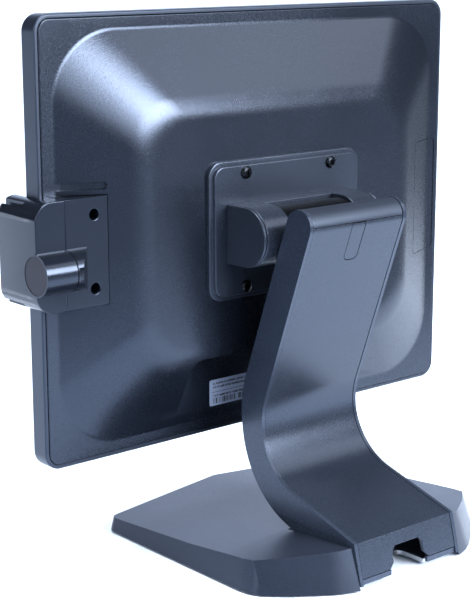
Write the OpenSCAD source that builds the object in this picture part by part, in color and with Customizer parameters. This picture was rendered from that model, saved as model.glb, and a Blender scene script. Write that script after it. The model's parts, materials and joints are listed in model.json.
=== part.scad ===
// Countertop touchscreen terminal: a flat screen head on a curved tilting stand,
// with a card and key reader on one side of the screen.
// The screen faces -Y, +X is the reader's side, and the stand rests on z = 0.

/* [Screen head] */
// Outer width of the screen head
head_w = 355; // [345:1:365]
// Outer height of the screen head
head_h = 283.5; // [280:0.5:290]
// Height of the screen's centre above the table
head_z = 211.5; // [205:0.5:225]
// Corner radius of the screen head
head_r = 11; // [8:1:16]
// Thickness of the bezel's side wall
rim_t = 2.8; // [2.5:0.1:3.2]
// Thickness of the touch glass
glass_t = 3; // [2:0.5:3]
// Depth of the rear cover's raised middle, from the rim to the plateau
dome_h = 24; // [22:1:25]

/* [Tilt hinge] */
// Distance between the fixing screws of the adaptor plate
vesa_pitch = 75; // [75]
// Radius of the hinge block's round back
block_r = 19.3; // [18.5:0.1:19.5]
// Width of the hinge block
block_w = 108; // [104:1:112]
// Radius of the hinge shaft
shaft_r = 5; // [4:0.5:5]
// Running clearance of the shaft in the hinge block
shaft_gap = 0.06; // [0.02:0.01:0.08]

/* [Stand] */
// Thickness of the arm from its front skin to its rear cover
arm_t = 22; // [21:0.5:22.5]
// Radius of the arm's bend on the rear side
bend_r = 44; // [42:0.5:46]
// Width of the arm at its head
arm_head_w = 84.8; // [82:0.2:86]
// Width of the arm at its foot
arm_foot_w = 90.4; // [88:0.2:92]
// Half width of the base
base_half_w = 102; // [98:1:106]
// Thickness of the steel base plate
plate_t = 3; // [2:0.5:3]
// Height of the rubber feet below the base plate
foot_h = 1.6; // [1.2:0.1:2]

/* [Card reader] */
// Height of the reader module
reader_h = 68.5; // [64:0.5:72]
// Width of the card slot
slot_w = 3; // [2:0.5:3.5]
// Depth of the card slot
slot_depth = 21; // [16:1:22]
// Radius of the key reader's barrel
barrel_r = 13; // [12:0.5:14]

/* [Hidden] */
$fn = 64;
eps = 0.01;

// Screen head, planes along Y
front_y = -61;
rim_y = -46;
border_y = rim_y + 0.5;
dome_y = border_y + dome_h;
shell_t = 2.5;
glass_y = front_y + 0.2 + glass_t;
gasket_t = 0.5;
ledge_y = glass_y + gasket_t;
ledge_t = 1.5;
lcd = [326, 253, 7.2];
lcd_y = ledge_y + ledge_t + 0.1;
chassis_y = lcd_y + lcd[2] + 0.1;
chassis_t = 1.2;
board_y = [-41.2, -39.6];
cover_w = head_w - 2 * rim_t - 0.4;
cover_h = head_h - 2 * rim_t - 0.4;
cover_t = 2.7;
view_w = 312;
view_h = 236;

// Rear cover: foot and top of the raised middle
dome_foot = [334, 266];
dome_foot_r = 45;
dome_top = [232, 162];
dome_top_r = 32;

// Side bays: one holds the reader, the other a blank lid
bay_x = 136.4;
bay_z = [head_z - 37, head_z + 40.1];
blank_x = 138;
blank_h = 82.6;
blank_gap = 0.4;
bay_floor_t = 1.2;
bay_gap = 0.45;
recess_depth = 2.2;

// Connector pocket in the lower slope of the cover
pocket_w = 154;
pocket_z = [head_z - 141, head_z - 83];
pocket_y = -41.5;
pocket_wall = 1.8;

// Adaptor plate and hinge
vesa_z = head_z + 0.5;
plate_w = 133;
plate_h = 91;
plate_y = [dome_y, dome_y + 5.3];
axis_y = 1.8;
axis_z = head_z - 0.6;
ear_x = 30.3;
knuckle_r = block_r - 1.7;
cap_t = 2.4;
nut_pocket_x = 44;
nut_pocket_r = 12.5;

// Arm: straight head, bend and straight foot, drawn in the YZ plane
bend_y = 50.1;
bend_z = 88.7;
bend_a1 = 160.3;
bend_a2 = 253.6;
bend_ease = 7;
head_run = 121.3;
skin_t = 2.5;
wall_t = 2.6;
foot_back_y = 95;
heel = [101.7, 3.5];
arm_mid_w = arm_head_w + 1.4;
bend_mid = (bend_a1 + bend_a2) / 2;
bend_half = (bend_a2 - bend_a1) / 2;
up_dir = [sin(bend_a1), -cos(bend_a1)];
down_dir = [-sin(bend_a2), cos(bend_a2)];
head_c = [bend_y, bend_z] + (bend_r + arm_t / 2) * [cos(bend_a1), sin(bend_a1)] + head_run * up_dir;
spine_d = [9, 12.5];
spine_half_w = 28;

// Base
base_z = 1.2;
base_t = 2.5;
base_front_y = -98.5;
base_corner_r = 8;
roof_a = 3.15;
cable_half_w = 16.5;

// Reader, outside the head
reader_z = head_z - 2.3;
reader_out_x = 190.5;
reader_in_x = head_w / 2 + 0.5;
reader_split_x = 168.9;
reader_back_y = -30.5;
reader_front_y = -71;
reader_round = 12;
barrel_y = -30;
barrel_z = head_z - 11.5;
screw_x = 147.2;
screw_z = [head_z - 25.3, head_z + 21];

// ---------- shared shapes ----------

// A w by h rectangle with round corners, centred on the origin
module round_rect(w, h, r) {
    square([w - 2 * r, h], center = true);
    square([w, h - 2 * r], center = true);
    for (sx = [-1, 1], sy = [-1, 1])
        translate([sx * (w / 2 - r), sy * (h / 2 - r)]) circle(r);
}

// A flat slab facing +Y between two Y planes
module slab(w, h, r, y0, y1, x = 0, z = head_z) {
    translate([x, y1, z]) rotate([90, 0, 0]) linear_extrude(y1 - y0) round_rect(w, h, r);
}

// A box given by its low and high corners
module box(low, high) {
    translate(low) cube(high - low);
}

// Carries a shape drawn in the YZ plane along X
module along_x(x0, x1) {
    translate([x0, 0, 0]) rotate([90, 0, 90]) linear_extrude(x1 - x0) children();
}

// A round bar along X and one along Y
module bar_x(r, x0, x1, y, z) {
    translate([x0, y, z]) rotate([0, 90, 0]) cylinder(r = r, h = x1 - x0);
}
module bar_y(r, y0, y1, x, z) {
    translate([x, y1, z]) rotate([90, 0, 0]) cylinder(r = r, h = y1 - y0);
}

// Both copies of a part that the symmetry plane x = 0 repeats
module both_sides() {
    children();
    mirror([1, 0, 0]) children();
}

// The four fixing points of the adaptor plate
module at_vesa() {
    for (sx = [-1, 1], sz = [-1, 1])
        translate([sx * vesa_pitch / 2, 0, vesa_z + sz * vesa_pitch / 2]) children();
}

// Point on the arm's bend at angle a, a distance d in front of the rear surface; the bend's
// centre shifts with d so that the arm is a little thinner in the middle of the bend
function bend_pt(a, d) =
    [bend_y, bend_z] - bend_ease * d / arm_t * [cos(bend_mid), sin(bend_mid)]
    + (bend_r + d + bend_ease * cos(bend_half) * d / arm_t) * [cos(a), sin(a)];
// The arm's run at a distance d: up the head, round the bend, and along the foot
function arm_run(d, up, down, n = 36) =
    let (shift = bend_ease * sin(bend_half) * d / arm_t)
    concat([bend_pt(bend_a1, d) + (up - shift) * up_dir],
           [for (i = [0:n]) bend_pt(bend_a1 + (bend_a2 - bend_a1) * i / n, d)],
           [bend_pt(bend_a2, d) + max(down - shift, 0.1) * down_dir]);
function reversed(list) = [for (i = [len(list) - 1:-1:0]) list[i]];
// An arc about the arm's head, from angle a to angle b
function head_arc(r, a, b, n = 16) =
    [for (i = [0:n]) head_c + r * [cos(a + (b - a) * i / n), sin(a + (b - a) * i / n)]];
// Height of the foot's upper line at a given y
function foot_line_z(y, d) =
    bend_z - (bend_r + d + cos(bend_a2) * (bend_y - y)) / -sin(bend_a2);

// The arm's width seen from the rear, less an inset on each side
module arm_width(inset) {
    right = [for (p = [[arm_foot_w, -10], [arm_foot_w, 30], [arm_mid_w, 80], [arm_head_w, 240]])
             [p[0] / 2 - inset, p[1]]];
    translate([0, 140, 0]) rotate([90, 0, 0]) linear_extrude(240)
        polygon(concat(right, reversed([for (p = right) [-p[0], p[1]]])));
}

// The space between the arm's two side walls, less a margin
module between_walls(margin) {
    arm_width(wall_t + margin);
}

// ---------- screen head ----------

module front_bezel() {
    color("#3a4150")
    difference() {
        slab(head_w, head_h, head_r, front_y, rim_y);
        slab(head_w - 2 * rim_t, head_h - 2 * rim_t, head_r - rim_t, front_y - 1, ledge_y);
        slab(head_w - 2 * rim_t, head_h - 2 * rim_t, head_r - rim_t, ledge_y + ledge_t, rim_y + 1);
        slab(view_w, view_h, 2, front_y - 1, rim_y);
        // opening for the power button
        box([-156.4, -54.9, head_z - head_h / 2 - 1], [-143.6, -49.1, head_z - head_h / 2 + rim_t + 1]);
        // hole for the status light
        translate([-130, -52, head_z - head_h / 2 - 1]) cylinder(r = 1.6, h = rim_t + 2);
        // speaker slots in the underside
        for (s = [-1, 1], i = [0:6])
            translate([s * 103 + (i - 3) * 4.5 - 0.9, -55.5, head_z - head_h / 2 - 1])
                cube([1.8, 6, rim_t + 2]);
    }
}

module touch_glass() {
    color("#101216")
    slab(head_w - 2 * rim_t - 0.6, head_h - 2 * rim_t - 0.6, head_r - rim_t - 0.3,
         glass_y - glass_t, glass_y);
}

module glass_gasket() {
    color("#1b1b1d")
    difference() {
        slab(head_w - 2 * rim_t - 3, head_h - 2 * rim_t - 3, 6, glass_y, ledge_y);
        slab(view_w + 6, view_h + 6, 4, glass_y - 1, ledge_y + 1);
    }
}

module lcd_panel() {
    color("#2a2d33")
    difference() {
        slab(lcd[0], lcd[1], 2, lcd_y, lcd_y + lcd[2]);
        // shallow window of the metal frame in front of the image area
        slab(308, 232, 1, lcd_y - 1, lcd_y + 0.6);
    }
}

module screen_chassis() {
    post_y = dome_y - shell_t;
    color("#9aa0a6")
    difference() {
        union() {
            slab(316, 248, 42, chassis_y, chassis_y + chassis_t);
            at_vesa() bar_y(5, chassis_y, post_y, 0, 0);
            for (x = [-98, 88], z = [-70, 66]) bar_y(3, chassis_y, board_y[0], x, head_z + z);
        }
        at_vesa() bar_y(1.65, chassis_y - 1, post_y + 1, 0, 0);
        // lightening openings
        for (x = [-118, 118]) slab(60, 90, 6, chassis_y - 1, chassis_y + 3, x, head_z);
    }
}

module mainboard() {
    color("#1f5a38")
    difference() {
        union() {
            slab(200, 152, 3, board_y[0], board_y[1], -5, head_z - 2);
            slab(34, 20, 1, board_y[1], -36.2, 66, head_z + 30);
            for (i = [0:3]) slab(9, 30, 0.5, board_y[1], -34.2, 52 + i * 12, head_z - 8);
        }
        at_vesa() bar_y(6, board_y[0] - 1, board_y[1] + 1, 0, 0);
    }
}

module heat_sink() {
    color("#b4b8bc") {
        slab(56, 56, 1, board_y[1], board_y[1] + 3, 0, vesa_z);
        for (i = [-6:6])
            box([i * 4.4 - 0.6, board_y[1] + 3 - eps, vesa_z - 28], [i * 4.4 + 0.6, -27, vesa_z + 28]);
    }
}

module storage_drive() {
    color("#7c8288")
    difference() {
        slab(69.8, 100, 2, board_y[1], board_y[1] + 9.5, -78.3, head_z + 20);
        slab(60, 86, 1, board_y[1] + 9.1, board_y[1] + 10, -78.3, head_z + 20);
    }
}

module speakers() {
    z0 = head_z - head_h / 2 + rim_t;
    color("#202226")
    both_sides()
        difference() {
            box([85, -55.6, z0 + 0.2], [121, -49.2, z0 + 10]);
            for (x = [94, 112]) translate([x, -52.7, z0 - 1]) cylinder(r = 2.8, h = 2.2);
        }
}

// Outer form of the rear cover's raised middle; inset makes the inner form
module dome(inset) {
    hull() {
        slab(dome_foot[0] - 2 * inset, dome_foot[1] - 2 * inset, dome_foot_r - inset,
             border_y - inset - 0.2, border_y - inset, $fn = 32);
        slab(dome_top[0] - 2 * inset, dome_top[1] - 2 * inset, dome_top_r - inset,
             dome_y - inset - 0.2, dome_y - inset, $fn = 32);
    }
}

// The reader's bay and the blank's bay, each grown by a margin. The reader's bay is square at its
// lower inner corner, and above the reader it is only a shallow recess in the cover's slope.
module reader_bay(margin) {
    floor_y = border_y - margin;
    reader_top = reader_z + reader_h / 2 + bay_gap;
    intersection() {
        union() {
            slab(2 * (head_w / 2 - bay_x + margin), bay_z[1] - bay_z[0] + 2 * margin, 4 + margin,
                 floor_y, dome_y, head_w / 2, (bay_z[0] + bay_z[1]) / 2);
            box([bay_x - margin, floor_y, bay_z[0] - margin], [head_w / 2, dome_y, reader_z]);
        }
        union() {
            box([bay_x - 10, floor_y, bay_z[0] - 10], [head_w / 2, dome_y, reader_top + margin]);
            difference() {
                box([bay_x - 10, floor_y, reader_z], [head_w / 2, dome_y, bay_z[1] + 10]);
                dome(recess_depth + margin);
            }
        }
    }
}
module blank_bay(margin) {
    slab(2 * (head_w / 2 - blank_x + margin), blank_h + 2 * margin, 4 + margin,
         border_y - margin, dome_y, -head_w / 2, head_z);
}

// The connector pocket; its lower corners lie in front of the sloping cover
module pocket(margin) {
    slab(pocket_w + 2 * margin, pocket_z[1] - pocket_z[0] + 2 * margin, 9 + margin,
         pocket_y - margin, dome_y + 1, 0, (pocket_z[0] + pocket_z[1]) / 2);
}

module rear_cover() {
    color("#3c4454")
    difference() {
        union() {
            slab(cover_w, cover_h, head_r - rim_t - 0.2, border_y - cover_t, border_y);
            dome(0);
        }
        // the hollow inside, kept clear of the bays' and the pocket's own walls
        difference() {
            union() {
                dome(shell_t);
                slab(328, 258, 3, border_y - cover_t - 1, border_y - shell_t + eps);
            }
            reader_bay(bay_floor_t);
            blank_bay(bay_floor_t);
            pocket(pocket_wall);
        }
        reader_bay(0);
        blank_bay(0);
        pocket(0);
        // window for the connectors in the pocket's upper wall
        box([-72, -39.9, pocket_z[1] - 1], [72, -26.4, pocket_z[1] + pocket_wall + 1]);
        at_vesa() bar_y(2.3, dome_y - 5, dome_y + 1, 0, 0);
        // blind holes for the reader's two screws, in the +X bay's floor
        for (z = screw_z) bar_y(1.6, border_y - 1, border_y + 1, screw_x, z);
    }
}

// Blank lid of the bay that no accessory uses
module side_blank() {
    color("#3c4454")
    difference() {
        intersection() {
            union() {
                dome(0);
                box([-174, border_y, head_z - 60], [-150, border_y + 2, head_z + 60]);
            }
            box([-174, border_y, 0], [0, dome_y, 400]);
            blank_bay(-blank_gap);
        }
        // hollow behind the lid's skin
        intersection() {
            dome(shell_t);
            blank_bay(-blank_gap - 2);
        }
        // finger slot at the outer edge
        box([-171.2, border_y - 1, head_z - 10], [-169.4, dome_y, head_z + 11]);
    }
}

module connector_panel() {
    z0 = pocket_z[1] + pocket_wall;
    color("#a9adb2")
    difference() {
        box([-74, -41.3, z0], [74, -25.6, z0 + 1]);
        for (c = ports())
            box([c[0] - c[1] / 2 - 0.2, -39.8, z0 - 1], [c[0] + c[1] / 2 + 0.2, -39.4 + c[2], z0 + 2]);
    }
}

// The sockets along the panel: centre x, width, height, and the width of the opening
function ports() = [[-62, 16, 12, 12], [-40, 15, 7.4, 12.5], [-21, 15, 7.4, 12.5], [3, 30, 11, 17],
                    [33, 16, 12, 12], [57, 14, 11, 8]];

module connectors() {
    z0 = pocket_z[1] + 0.5;
    color("#c8ccd0")
    for (c = ports())
        difference() {
            box([c[0] - c[1] / 2, board_y[1], z0], [c[0] + c[1] / 2, board_y[1] + c[2], z0 + 14]);
            box([c[0] - c[3] / 2, board_y[1] + 1.4, z0 - 1],
                [c[0] + c[3] / 2, board_y[1] + c[2] - 1.4, z0 + 9]);
        }
}

module rating_label() {
    color("#c9cfd6")
    slab(56, 18, 1.5, pocket_y, pocket_y + 0.2, 20.3, head_z - 113.9);
}

module power_button() {
    z0 = head_z - head_h / 2;
    color("#22252b") {
        box([-156, -54.5, z0 - 0.8], [-144, -49.5, z0 + rim_t + 0.3]);
        box([-158, -55.5, z0 + rim_t + 0.3], [-142, -48.6, z0 + rim_t + 1.5]);
    }
}

module status_light() {
    color("#5fd07a")
    translate([-130, -52, head_z - head_h / 2 + 0.1]) cylinder(r = 1.5, h = rim_t + 1.5);
}

// ---------- hinge ----------

module adaptor_plate() {
    color("#4a5160")
    difference() {
        union() {
            slab(plate_w, plate_h, 10, plate_y[0], plate_y[1] - 2.2, 0, vesa_z);
            slab(plate_w - 6, plate_h - 6, 7, plate_y[0], plate_y[1], 0, vesa_z);
        }
        at_vesa() bar_y(2.3, plate_y[0] - 1, plate_y[1] + 1, 0, 0);
    }
}

module adaptor_screws() {
    color("#15161a")
    at_vesa()
        difference() {
            union() {
                bar_y(1.6, plate_y[0] - 12, plate_y[1] + 0.5, 0, 0);
                bar_y(4.1, plate_y[1], plate_y[1] + 1.2, 0, 0);
                translate([0, plate_y[1] + 1.2, 0]) rotate([-90, 0, 0]) cylinder(r1 = 4.1, r2 = 2.8, h = 1);
            }
            // cross recess
            for (a = [0, 90]) rotate([0, a, 0])
                 box([-2.4, plate_y[1] + 0.6, -0.5], [2.4, plate_y[1] + 3, 0.5]);
        }
}

// Side view of the hinge block: flat towards the plate, round at the back
module block_profile() {
    difference() {
        union() {
            translate([axis_y, axis_z]) circle(block_r);
            translate([plate_y[1], axis_z - block_r]) square([axis_y - plate_y[1], 2 * block_r]);
        }
        translate([plate_y[1] - block_r, axis_z - 2 * block_r]) square([block_r, 4 * block_r]);
    }
}

module hinge_block() {
    color("#4a5160")
    difference() {
        along_x(-block_w / 2 + cap_t, block_w / 2 - cap_t) block_profile();
        // room for the arm's knuckle, and the window that its neck passes through
        bar_x(knuckle_r + 0.3, -ear_x, ear_x, axis_y, axis_z);
        along_x(-ear_x, ear_x)
            polygon([[-7.5, axis_z], [-7.5, axis_z + 30], [45, axis_z + 30], [45, axis_z - 43.2],
                     [axis_y, axis_z]]);
        // shaft bores and the nut pockets behind the end caps
        bar_x(shaft_r + shaft_gap, -block_w / 2, block_w / 2, axis_y, axis_z);
        both_sides() bar_x(nut_pocket_r, nut_pocket_x, block_w / 2, axis_y, axis_z);
    }
}

module hinge_end_caps() {
    color("#454c5a")
    both_sides() along_x(block_w / 2 - cap_t + 0.1, block_w / 2) block_profile();
}

module hinge_knuckle() {
    neck = 8;
    face_y = function (z) bend_y + (bend_r + spine_d[1] - sin(bend_a1) * (z - bend_z)) / cos(bend_a1);
    color("#2b2f38")
    difference() {
        union() {
            bar_x(knuckle_r, -ear_x + 0.4, ear_x - 0.4, axis_y, axis_z);
            along_x(-spine_half_w, spine_half_w)
                polygon([[axis_y, axis_z - neck], [face_y(axis_z - neck), axis_z - neck],
                         [face_y(axis_z + neck), axis_z + neck], [axis_y, axis_z + neck]]);
        }
        bar_x(shaft_r, -ear_x - 1, ear_x + 1, axis_y, axis_z);
    }
}

module hinge_shaft() {
    color("#b9bdc2")
    bar_x(shaft_r, -50.4, 50.4, axis_y, axis_z);
}

module friction_washers() {
    color("#8d9196")
    both_sides()
        for (i = [0:2])
            difference() {
                bar_x(10.5 - 0.6 * i, nut_pocket_x + 0.1 + 0.9 * i, nut_pocket_x + 0.9 + 0.9 * i,
                      axis_y, axis_z);
                bar_x(shaft_r, nut_pocket_x, nut_pocket_x + 4, axis_y, axis_z);
            }
}

module hinge_nuts() {
    x0 = nut_pocket_x + 2.9;
    color("#9a9ea3")
    both_sides()
        difference() {
            translate([x0, axis_y, axis_z]) rotate([0, 90, 0]) cylinder(r = 9, h = 3.4, $fn = 6);
            bar_x(shaft_r, x0 - 1, x0 + 5, axis_y, axis_z);
        }
}

// ---------- card and key reader ----------

// Rear view of the reader, with its two outer corners rounded
module reader_outline(x0, x1) {
    z0 = reader_z - reader_h / 2;
    z1 = reader_z + reader_h / 2;
    r = reader_round;
    difference() {
        translate([x0, z0]) square([x1 - x0, reader_h]);
        difference() {
            translate([reader_out_x - r, z0 - 1]) square([r + 1, reader_h + 2]);
            translate([reader_out_x - r - 1, z0 + r]) square([r + 1, reader_h - 2 * r]);
            for (z = [z0 + r, z1 - r]) translate([reader_out_x - r, z]) circle(r);
        }
    }
}

module reader_prism(x0, x1, y0, y1) {
    translate([0, y1, 0]) rotate([90, 0, 0]) linear_extrude(y1 - y0) reader_outline(x0, x1);
}

// The key reader's barrel, cut on a slant at its inner end
module barrel(x0, x1) {
    intersection() {
        bar_x(barrel_r, x0, x1, barrel_y, barrel_z);
        translate([0, 0, barrel_z - 20]) linear_extrude(40)
            polygon([[153.4, reader_back_y - 15], [153.4, reader_back_y], [165.4, reader_back_y + 13.5],
                     [200, reader_back_y + 13.5], [200, reader_back_y - 15]]);
    }
}

module reader_housing() {
    slot_x = 187.8;
    color("#3b4353")
    difference() {
        union() {
            reader_prism(reader_split_x + 0.1, reader_out_x, border_y, reader_back_y);
            reader_prism(reader_in_x, reader_out_x, reader_front_y, reader_back_y - 1);
            barrel(reader_split_x + 0.1, reader_out_x + 1);
        }
        // the head's edge passes here
        box([reader_split_x - 1, reader_front_y - 1, 100], [reader_in_x, border_y, 300]);
        // the card slot, open at the front and at both ends
        box([slot_x - slot_w, reader_front_y - 1, 100], [slot_x, reader_front_y + slot_depth, 300]);
        // the recess of the key reader's face
        bar_x(barrel_r - 1, reader_out_x + 0.2, reader_out_x + 2, barrel_y, barrel_z);
        // room for the circuit board
        box([reader_split_x - 1, border_y + 3, barrel_z - 18], [185, reader_back_y - 2.5, barrel_z + 34]);
        // seat of the read head, open to the slot
        box([179.6, -66, reader_z - 8], [slot_x - slot_w + eps, -57, reader_z + 8]);
    }
}

module reader_bracket() {
    color("#3b4353")
    difference() {
        union() {
            reader_prism(bay_x + 0.4, reader_split_x - 0.1, border_y, reader_back_y - 0.4);
            barrel(150, reader_split_x - 0.1);
        }
        // counterbored screw holes
        for (z = screw_z) {
            bar_y(3.4, border_y + 4, reader_back_y + 1, screw_x, z);
            bar_y(1.7, border_y - 1, reader_back_y, screw_x, z);
        }
    }
}

module key_reader_face() {
    color("#4b4a50")
    bar_x(barrel_r - 1.2, reader_out_x + 0.2, reader_out_x + 0.8, barrel_y, barrel_z);
}

module reader_board() {
    color("#1f5a38")
    box([178.4, border_y + 3, barrel_z - 17], [180, reader_back_y - 2.9, barrel_z + 33]);
}

module read_head() {
    color("#a5a9ae")
    box([180.4, -65.6, reader_z - 7.6], [185.3, -57.4, reader_z + 7.6]);
}

module reader_screws() {
    color("#17181b")
    for (z = screw_z)
        difference() {
            union() {
                bar_y(1.4, border_y - 0.9, border_y + 4.2, screw_x, z);
                bar_y(3, border_y + 4.1, border_y + 6.1, screw_x, z);
            }
            for (a = [0, 90])
                translate([screw_x, border_y + 6.2, z]) rotate([0, a, 0])
                     box([-1.8, -0.9, -0.4], [1.8, 1, 0.4]);
        }
}

// ---------- arm ----------

// Full side view of the arm, from the head's round top down to the heel
module arm_profile() {
    polygon(concat(
        reversed(arm_run(arm_t, head_run, 22)),
        head_arc(arm_t / 2, bend_a1, bend_a1 - 180),
        arm_run(0, head_run, 1),
        [[foot_back_y, foot_line_z(foot_back_y, 0)], heel, [98.2, heel[1]],
         [98.2, base_z + plate_t + 0.6], [heel[0] - 62, base_z + plate_t + 0.6]]));
}

// The strip between two depths behind the arm's rear surface
module arm_strip(d0, d1, up, down) {
    polygon(concat(arm_run(d0, up, down), reversed(arm_run(d1, up, down))));
}

module arm_frame() {
    color("#3d4554")
    difference() {
        union() {
            // two side walls, closer together at the head
            difference() {
                intersection() {
                    along_x(-50, 50) arm_profile();
                    arm_width(0);
                }
                arm_width(wall_t);
            }
            // front skin
            intersection() {
                along_x(-50, 50) arm_strip(arm_t - skin_t, arm_t, head_run, 8);
                between_walls(-0.3);
            }
            // foot lip under the rear cover's lower edge
            both_sides()
                 box([cable_half_w, 98.2, heel[1]], [arm_foot_w / 2 - 1, heel[0] - 1.6, heel[1] + 3.4]);
        }
        // opening for the knuckle's neck
        box([-ear_x, 0, axis_z - 12], [ear_x, 45, axis_z + 12]);
        // cable opening in the front skin at the bend
        box([-20, -20, 92], [20, 2, 110]);
    }
}

// Side view of the rear cover: down the head, round the bend, over the heel
module cover_profile(d0, d1) {
    back = [foot_back_y, foot_line_z(foot_back_y, d0)];
    polygon(concat(
        head_arc(arm_t / 2 - d0, 0, bend_a1 - 180, 6),
        arm_run(d0, head_run, 1),
        [back, [heel[0] - 1.1 - d0, 7.6], [heel[0] - 1.1 - d1, 7.6],
         [foot_back_y - d1, foot_line_z(foot_back_y - d1, d1)]],
        reversed(arm_run(d1, head_run, 1)),
        head_arc(arm_t / 2 - d1, bend_a1 - 180, 0, 6)));
}

module arm_rear_cover() {
    color("#485061")
    difference() {
        intersection() {
            along_x(-50, 50) cover_profile(0.2, skin_t + 0.2);
            between_walls(0.3);
        }
        // cable notch with a flared foot
        translate([0, heel[0] + 5, 0]) rotate([90, 0, 0]) linear_extrude(14) notch_outline();
        latch_outline(0.4);
    }
}

module notch_outline() {
    polygon([[-18, 5], [-17, 8], [-14, 11], [-13.5, 18], [-11, 21],
             [11, 21], [13.5, 18], [14, 11], [17, 8], [18, 5]]);
}

// The latch tab's outline grown by a margin, open at the seam of the top cap
module latch_outline(margin) {
    translate([0, 70, head_c[1] - 12.5]) rotate([90, 0, 0]) linear_extrude(50) {
        round_rect(11.4 + 2 * margin, 25 + 2 * margin, 3.3 + margin);
        translate([-5.7 - margin, 0]) square([11.4 + 2 * margin, 14]);
    }
}

module latch_tab() {
    color("#485061")
    intersection() {
        along_x(-10, 10) cover_profile(0.3, skin_t);
        latch_outline(0);
        translate([-10, 0, 0]) cube([20, 100, head_c[1] - 0.4]);
    }
}

module arm_top_cap() {
    color("#454d5d")
    intersection() {
        along_x(-50, 50)
            polygon(concat(head_arc(arm_t / 2 - 0.2, 1.5, bend_a1 - 1, 24),
                           head_arc(arm_t / 2 - 2.6, bend_a1 - 1, 1.5, 24)));
        between_walls(0.3);
    }
}

module arm_spine() {
    z0 = base_z + plate_t + 0.3;
    p = bend_pt(bend_a2, spine_d[1]) + 9 * down_dir;
    color("#6d7278")
    difference() {
        union() {
            along_x(-spine_half_w, spine_half_w) arm_strip(spine_d[0], spine_d[1], head_run - 6, 14);
            // leg and flange on the base plate
            along_x(-spine_half_w, spine_half_w)
                polygon([[p[0], z0], [p[0] + 13, z0], [p[0] + 13, z0 + 3], [p[0] + 3.5, z0 + 3],
                         [p[0] + 3.5, p[1] + 1], [p[0], p[1] + 1]]);
        }
        // way for the cables through the spine
        box([-14, -20, 78], [14, 40, 116]);
    }
}

// ---------- base ----------

// Right half of the base's outline, from the front corner to the rear edge
function base_right() =
    concat([for (i = [0:4])
               let (a = -84.1 + 84.1 * i / 4)
               [base_half_w - base_corner_r, base_front_y + 17.8] + base_corner_r * [cos(a), sin(a)]],
           [[base_half_w, 50], [base_half_w - 1.2, 59.6], [base_half_w - 5.1, 67.4],
            [base_half_w - 17.7, 79.2], [base_half_w - 37.9, 93.7], [base_half_w - 46.2, 98.4],
            [arm_foot_w / 2 + 0.4, heel[0]]]);
function base_round() =
    concat([[0, base_front_y]], base_right(), reversed([for (p = base_right()) [-p[0], p[1]]]));
// Outward normal of the edge from a to b
function edge_out(a, b) = [b[1] - a[1], a[0] - b[0]] / norm(b - a);
// A closed outline moved inwards by d
function inset(list, d) =
    let (n = len(list))
    [for (i = [0:n - 1])
        let (before = edge_out(list[(i + n - 1) % n], list[i]), after = edge_out(list[i], list[(i + 1) % n]))
        list[i] - d * (before + after) / (1 + before * after)];

// Height of the base's centre line along Y, less a depth d
module roof_profile(d) {
    polygon([[-120, -20], [-120, 13.6 - d], [-95, 15.1 - d], [-42, 18.4 - d], [0, 21.2 - d], [33, 24.6 - d],
             [57, 26.8 - d], [110, 30.4 - d], [110, -20]]);
}

// The base's solid form: outline, two-plane roof and leaning walls
module base_form(d) {
    line = inset(base_round(), d);
    intersection() {
        translate([0, 0, base_z]) linear_extrude(40) polygon(line);
        rotate([0, roof_a, 0]) along_x(-130, 130) roof_profile(d);
        rotate([0, -roof_a, 0]) along_x(-130, 130) roof_profile(d);
        // walls lean in, the rear ones more
        intersection_for(i = [0:len(line) - 1]) {
            out = edge_out(line[i], line[(i + 1) % len(line)]);
            wall_cut(line[i], atan2(out[1], out[0]), out[1] > 0.5 ? 18 : 12);
        }
    }
}

// Half space behind a wall through point p, with its outward normal at angle a, leaning in by t degrees
module wall_cut(p, a, t) {
    translate([p[0], p[1], base_z]) rotate([0, 0, a]) rotate([0, -t, 0])
        translate([-400, -300, -50]) cube([400, 600, 150]);
}

module base_cover() {
    inner_half = arm_foot_w / 2;
    color("#4b5468")
    difference() {
        base_form(0);
        translate([0, 0, -eps]) base_form(base_t);
        // bay of the arm's foot, open to the rear
        translate([0, 0, base_z - 1]) linear_extrude(40)
            polygon([[-inner_half - 0.3, 34], [inner_half + 0.3, 34], [inner_half + 0.3, 120],
                     [-inner_half - 0.3, 120]]);
        for (p = base_screw_spots()) translate([p[0], p[1], 0]) cylinder(r = 1.4, h = 9);
    }
    color("#4b5468")
    for (p = base_screw_spots())
        translate([p[0], p[1], base_z + plate_t + 0.3])
            difference() {
                cylinder(r = 4, h = roof_height(p) - base_z - plate_t - 0.3 - base_t + 0.6);
                translate([0, 0, -1]) cylinder(r = 1.4, h = 8);
            }
}

function base_screw_spots() = [for (s = [-1, 1], y = [-60, 20]) [s * 70, y]];
// Height of the roof's upper face near a point
function roof_height(p) =
    lookup(p[1], [[-95, 15.1], [-42, 18.4], [0, 21.2], [33, 24.6]]) - abs(p[0]) * tan(roof_a);

module base_plate() {
    color("#83888e")
    difference() {
        translate([0, 0, base_z + 0.3]) linear_extrude(plate_t) polygon(inset(base_round(), base_t + 2.8));
        // cable cut-out at the rear
        translate([0, 0, -1]) linear_extrude(10) translate([0, 100]) round_rect(2 * cable_half_w, 50, 4);
        for (p = base_screw_spots()) translate([p[0], p[1], 0]) {
            cylinder(r = 2, h = 10);
            translate([0, 0, base_z]) cylinder(r = 4, h = 1.6);
        }
    }
}

module rubber_feet() {
    color("#141416")
    for (p = [[0, 0], [78, -74], [-78, -74], [76, 52], [-76, 52]])
        translate([p[0], p[1], 0]) cylinder(r = 9, h = base_z + 0.3);
}

module base_screws() {
    color("#8a8e93")
    for (p = base_screw_spots()) translate([p[0], p[1], 0]) {
        translate([0, 0, base_z + 0.4]) cylinder(r = 3.7, h = 1.2);
        translate([0, 0, base_z + 1.5]) cylinder(r = 1.35, h = 7);
    }
}

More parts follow.
